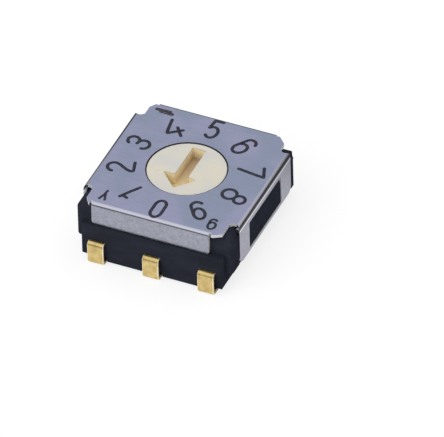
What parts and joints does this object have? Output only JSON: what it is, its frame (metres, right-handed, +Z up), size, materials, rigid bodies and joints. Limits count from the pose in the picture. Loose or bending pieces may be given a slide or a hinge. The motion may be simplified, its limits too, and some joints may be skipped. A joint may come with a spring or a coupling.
{
  "type": "rotary switch",
  "caption": "Surface-mount rotary coded switch: square steel-covered case with an arrow-slotted rotor, numbered dial, click stops and gold-plated J leads",
  "frame": {"origin": "middle of the footprint on the solder plane, under the centre of the rotor", "axes": "+X to the right along the front row of leads, +Y from the front row to the rear row, +Z up along the rotor's axis"},
  "size_m": [0.0072, 0.0078, 0.003],
  "materials": {
    "stainless_cover": "satin",
    "black_moulding": "fine matt moulding",
    "cream_moulding": "satin moulding",
    "gold_plate": "gold plating on copper alloy",
    "spring_steel": "bright rolled strip",
    "seal_rubber": "smooth"
  },
  "bodies": {
    "case": {"cover": "stainless_cover", "housing": "black_moulding", "base": "black_moulding", "detent_spring": "spring_steel", "lead_bit_1": "gold_plate", "lead_common_front": "gold_plate", "lead_bit_8": "gold_plate", "lead_bit_2": "gold_plate", "lead_common_rear": "gold_plate", "lead_bit_4": "gold_plate"},
    "turning_rotor": {"rotor": "cream_moulding", "code_disc": "gold_plate", "o_ring": "seal_rubber"}
  },
  "joints": [
    {"name": "rotor_turn", "type": "hinge", "parent": "case", "child": "turning_rotor", "pos_m": [0, 0, 0], "axis": [0, 0, 1], "continuous": true, "deforming": ["detent_spring"]}
  ]
}
